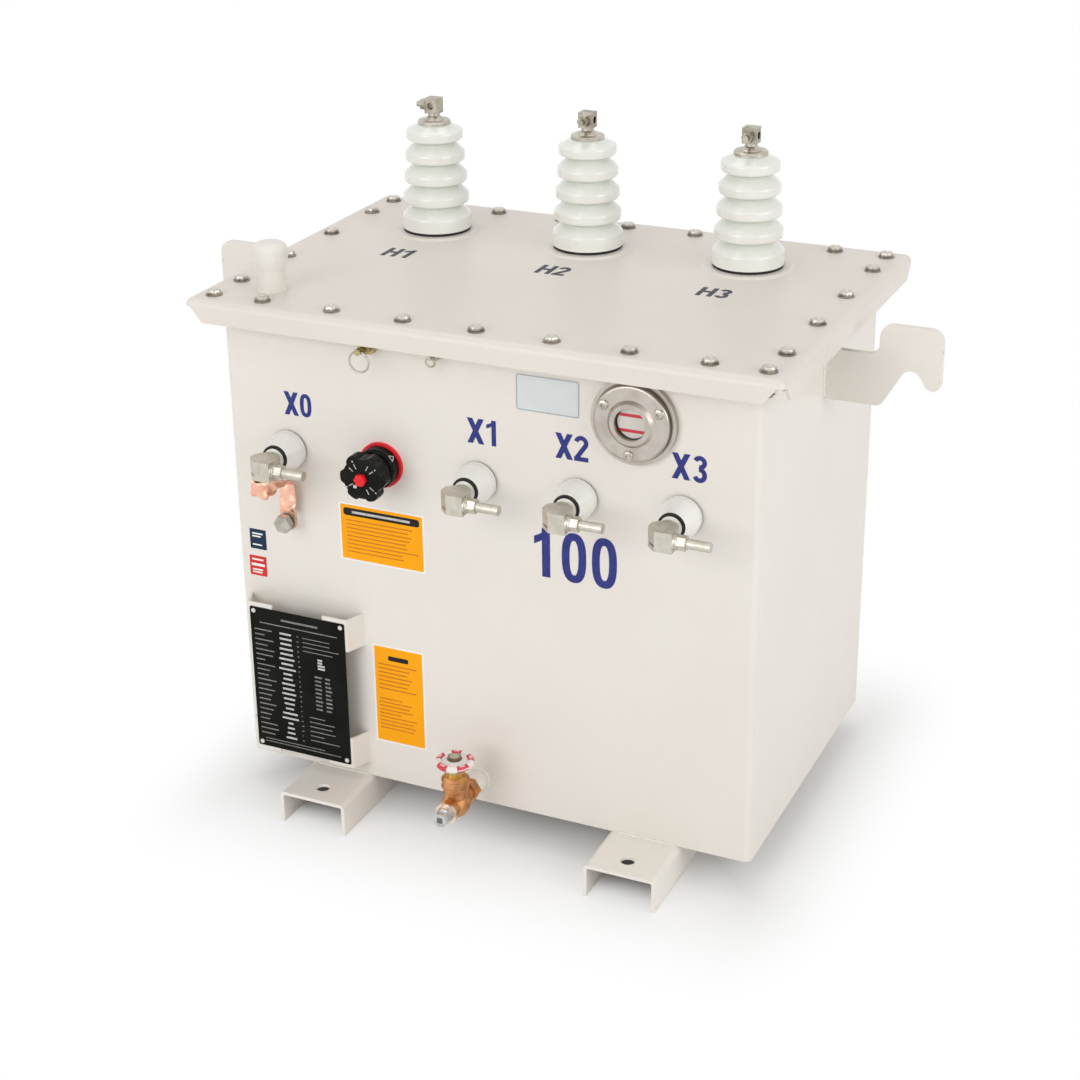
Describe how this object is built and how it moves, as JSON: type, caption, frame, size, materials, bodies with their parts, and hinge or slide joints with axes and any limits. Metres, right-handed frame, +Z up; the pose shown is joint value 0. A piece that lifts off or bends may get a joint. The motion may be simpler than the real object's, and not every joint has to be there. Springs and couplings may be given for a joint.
{
  "type": "oil-filled distribution transformer",
  "caption": "Oil-filled power transformer: welded tank on channel skids, folded bolted cover, ribbed porcelain bushings, tap changer, oil gauge, drain valve and lifting lugs.",
  "frame": {"origin": "on the floor, under the middle of the overall footprint", "axes": "+Z up, front wall with the low-voltage row towards -Y, +X to the right seen from the front"},
  "size_m": [1.068, 0.698, 0.9315],
  "materials": {
    "tank_paint": "semi-gloss sprayed enamel",
    "black_rubber": "matte",
    "hv_glaze": "glossy glaze",
    "lv_glaze": "glossy glaze",
    "tinned_metal": "dull tin plate",
    "copper": "bare bright copper strip",
    "red_plastic": "moulded",
    "black_plastic": "moulded, slight sheen",
    "gauge_steel": "turned",
    "sight_glass": "clear",
    "brass": "machined",
    "plate_black": "satin black plate",
    "bronze": "cast and machined",
    "wheel_paint": "gloss"
  },
  "bodies": {
    "tank": {"tank": "tank_paint", "tank_flange": "tank_paint", "cover": "tank_paint", "skid_left": "tank_paint", "skid_right": "tank_paint", "lifting_lug_left": "tank_paint", "lifting_lug_right": "tank_paint", "plate_bracket": "tank_paint", "filler_neck": "tank_paint", "filler_cap": "tank_paint", "drain_coupling": "tank_paint", "cover_gasket": "black_rubber", "hv_gaskets": "black_rubber", "lv_seals": "black_rubber", "hv_porcelain_1": "hv_glaze", "hv_porcelain_2": "hv_glaze", "hv_porcelain_3": "hv_glaze", "lv_porcelain_0": "lv_glaze", "lv_porcelain_1": "lv_glaze", "lv_porcelain_2": "lv_glaze", "lv_porcelain_3": "lv_glaze", "hv_caps": "tinned_metal", "hv_terminal_1": "tinned_metal", "hv_terminal_2": "tinned_metal", "hv_terminal_3": "tinned_metal", "lv_terminal_0": "tinned_metal", "lv_terminal_1": "tinned_metal", "lv_terminal_2": "tinned_metal", "lv_terminal_3": "tinned_metal", "ground_bolt": "tinned_metal", "drain_plug": "tinned_metal", "ground_strap": "copper", "tap_ring": "red_plastic", "tap_housing": "black_plastic", "gauge_flange": "gauge_steel", "gauge_window": "sight_glass", "relief_valve": "brass", "test_plug": "brass", "nameplate": "plate_black", "drain_body": "bronze", "drain_bonnet": "bronze"},
    "knob": {"tap_knob": "black_plastic", "tap_button": "red_plastic"},
    "handwheel": {"drain_wheel": "wheel_paint"},
    "relief_ring": {"pull_ring": "tinned_metal"}
  },
  "joints": [
    {"name": "tap_turn", "type": "hinge", "parent": "tank", "child": "knob", "pos_m": [-0.1465, -0.2775, 0.531], "axis": [0, -1, 0], "range_deg": [-72, 72]},
    {"name": "wheel_turn", "type": "hinge", "parent": "tank", "child": "handwheel", "pos_m": [-0.016, -0.29992, 0.147], "axis": [0, 0, 1], "range_deg": [0, 1170]},
    {"name": "ring_swing", "type": "hinge", "parent": "tank", "child": "relief_ring", "pos_m": [-0.155, -0.2645, 0.698], "axis": [-1, 0, 0], "range_deg": [0, 90]}
  ]
}
